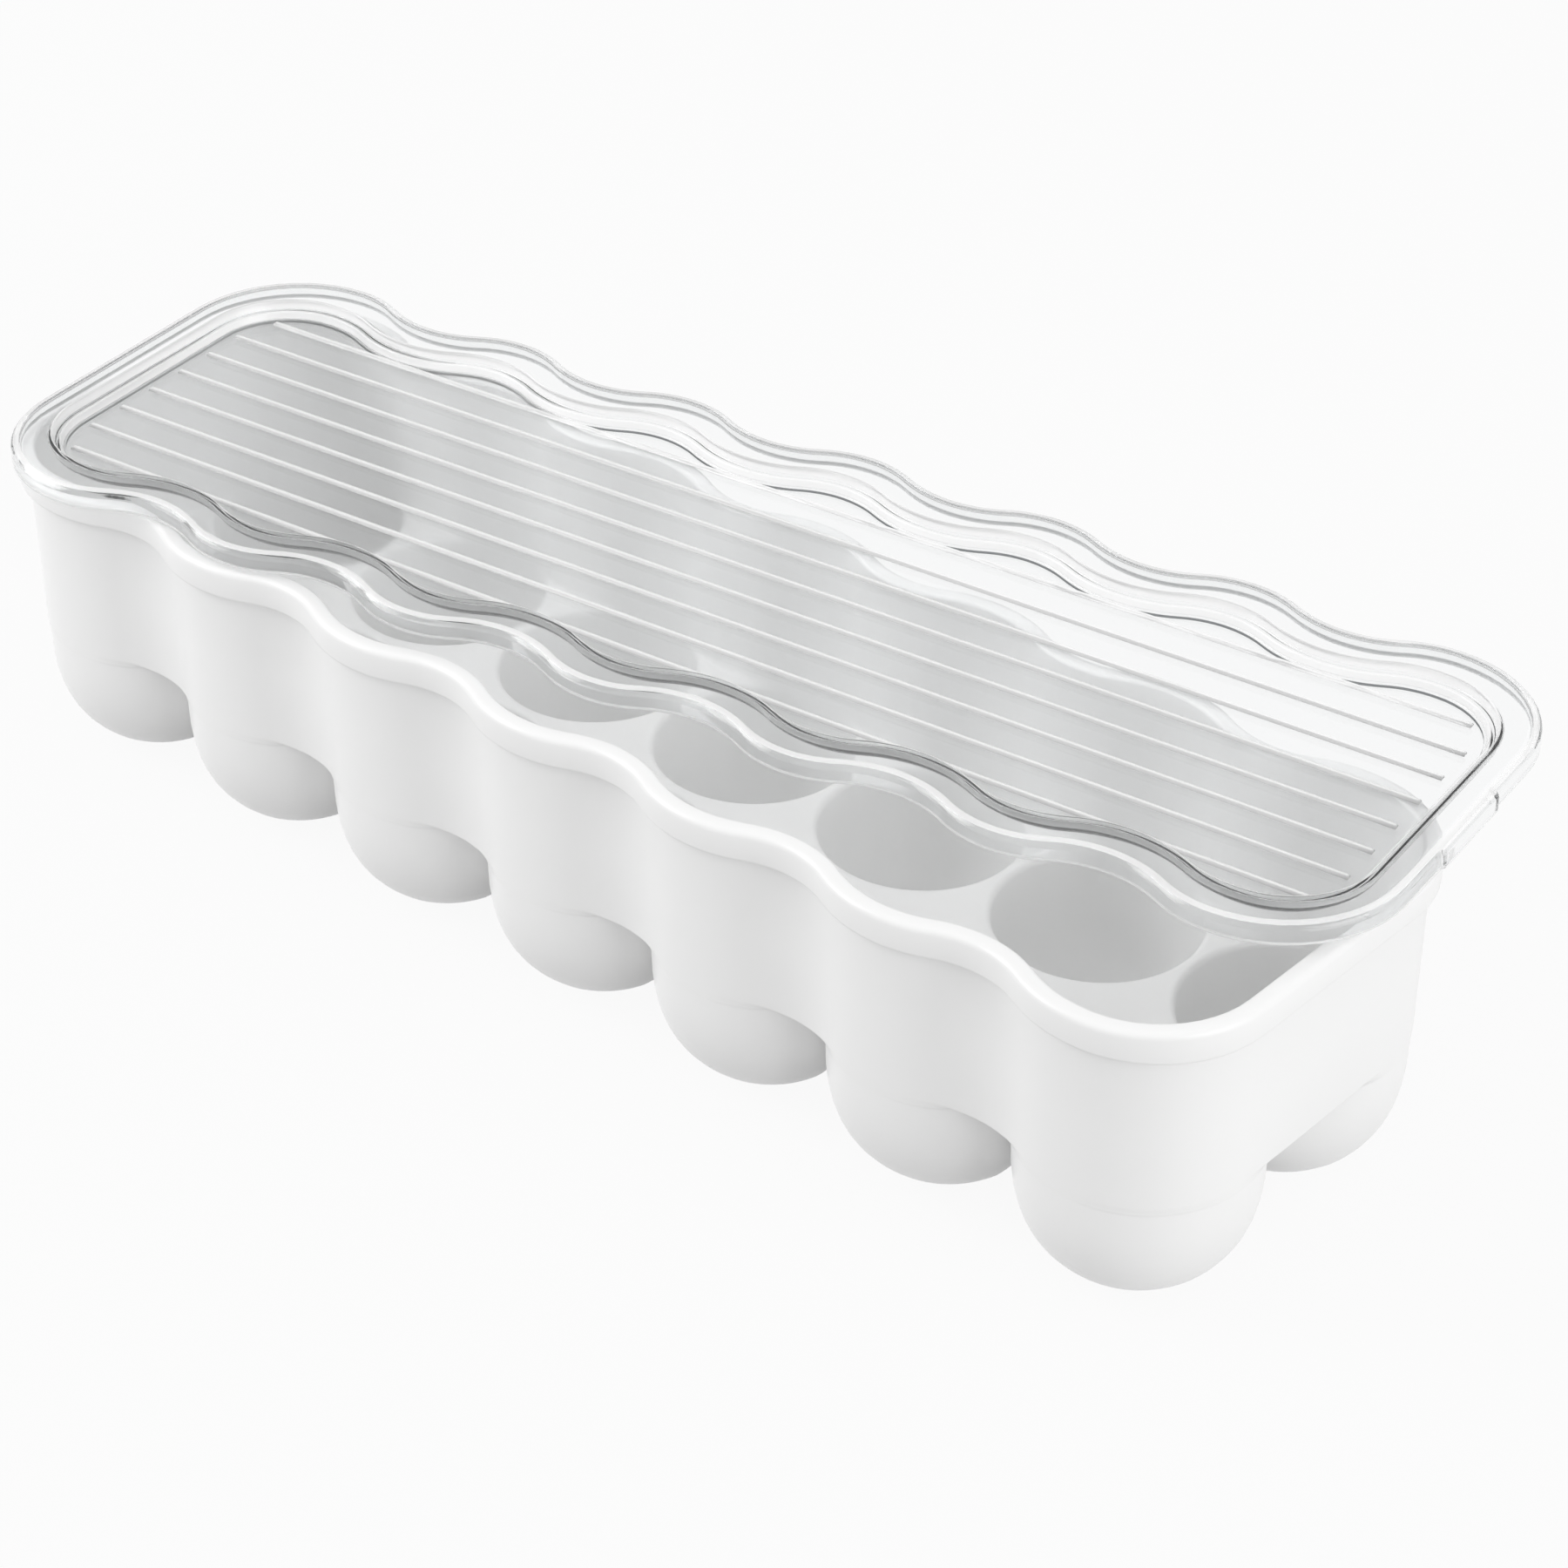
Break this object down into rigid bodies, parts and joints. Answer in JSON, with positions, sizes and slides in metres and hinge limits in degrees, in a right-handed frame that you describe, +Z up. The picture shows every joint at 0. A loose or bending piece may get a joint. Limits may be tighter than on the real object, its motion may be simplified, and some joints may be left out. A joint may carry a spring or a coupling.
{
  "type": "egg storage tray with lift-off lid",
  "caption": "White two-row egg tray with round-bottomed cups, scalloped long sides and a clear ribbed lift-off lid lying askew on the rim.",
  "frame": {"origin": "on the surface under the feet, below the middle of the whole part's box with the lid in its resting place", "axes": "+X along the rows of cups, +Y across the rows towards the side the lid is pushed to, +Z up"},
  "size_m": [0.3788, 0.163, 0.0877],
  "materials": {
    "tray_plastic": "satin",
    "lid_plastic": "polished"
  },
  "bodies": {
    "tray": {"egg_tray": "tray_plastic"},
    "lid": {"lid": "lid_plastic"}
  },
  "joints": [
    {"name": "lid_lift", "type": "slide", "parent": "tray", "child": "lid", "axis": [0, 0, 1], "range_m": [0, 0.12]}
  ]
}
